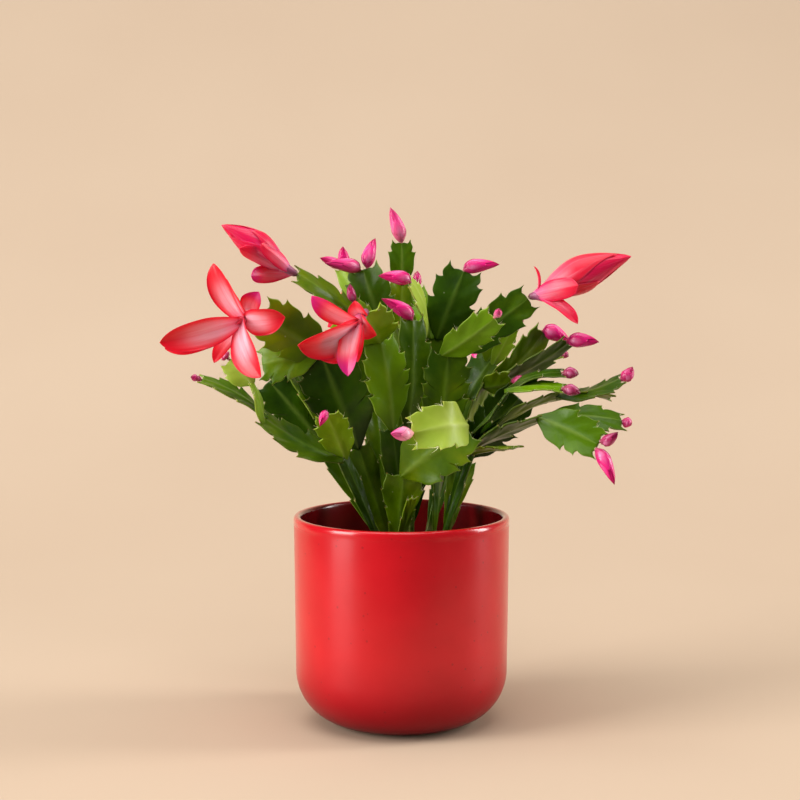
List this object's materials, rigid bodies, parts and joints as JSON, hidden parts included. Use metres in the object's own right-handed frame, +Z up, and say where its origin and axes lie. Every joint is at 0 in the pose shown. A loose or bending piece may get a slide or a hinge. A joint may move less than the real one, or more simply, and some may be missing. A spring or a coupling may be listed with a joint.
{
  "type": "potted christmas cactus",
  "caption": "Flowering jointed cactus with flat toothed stems, pink buds and red blooms, growing in potting mix in a round-bottomed glazed red pot.",
  "frame": {"origin": "centre of the pot's flat foot, on the surface that the pot stands on", "axes": "+Z up along the pot's axis, -Y towards the front of the plant, +X to the right as seen from the front"},
  "size_m": [0.2711, 0.2442, 0.311],
  "materials": {
    "red_glaze": "satin red glaze, glossy along the lip and inside",
    "potting_mix": "dark crumbly potting mix",
    "stem_green": "waxy green stem skin, lime on young growth",
    "bud_pink": "smooth magenta-pink bud",
    "tepal_red": "silky coral-red petals, pale towards the heart"
  },
  "bodies": {
    "root": {"stem_front": "stem_green", "stem_centre": "stem_green", "stem_middle": "stem_green", "stem_right_upright": "stem_green", "stem_left_tall": "stem_green", "stem_left_front": "stem_green", "stem_left_back": "stem_green", "stem_top_left": "stem_green", "stem_top": "stem_green", "stem_top_right": "stem_green", "stem_right_mid": "stem_green", "stem_right_back": "stem_green", "stem_right_low": "stem_green", "stem_right_out": "stem_green", "stem_back_left": "stem_green", "stem_back": "stem_green", "stem_back_right": "stem_green", "bud_front": "bud_pink", "bud_middle": "bud_pink", "bud_right_upright": "bud_pink", "bud_left_droop": "bud_pink", "bud_left_far": "bud_pink", "bud_left_young": "bud_pink", "bud_crown_long": "bud_pink", "bud_crown_right": "bud_pink", "bud_crown_small": "bud_pink", "bud_crown_left": "bud_pink", "bud_crown_thin": "bud_pink", "bud_top": "bud_pink", "bud_arched": "bud_pink", "bud_right_high": "bud_pink", "bud_upright": "bud_pink", "bud_right_pair": "bud_pink", "bud_right_pair_far": "bud_pink", "bud_right_inner": "bud_pink", "bud_right_thin": "bud_pink", "bud_right_back": "bud_pink", "bud_right_hanging": "bud_pink", "bud_right_low": "bud_pink", "bud_right_edge": "bud_pink", "bud_far_right": "bud_pink", "bud_slim_upper": "bud_pink", "bud_slim_lower": "bud_pink", "bud_back_left": "bud_pink", "bud_back": "bud_pink", "bud_back_low": "bud_pink", "bud_back_right": "bud_pink", "bloom_left": "tepal_red", "bloom_centre": "tepal_red", "bloom_upper_left": "tepal_red", "bloom_right": "tepal_red", "bloom_back": "tepal_red", "potting_mix": "potting_mix", "pot": "red_glaze"}
  },
  "joints": []
}
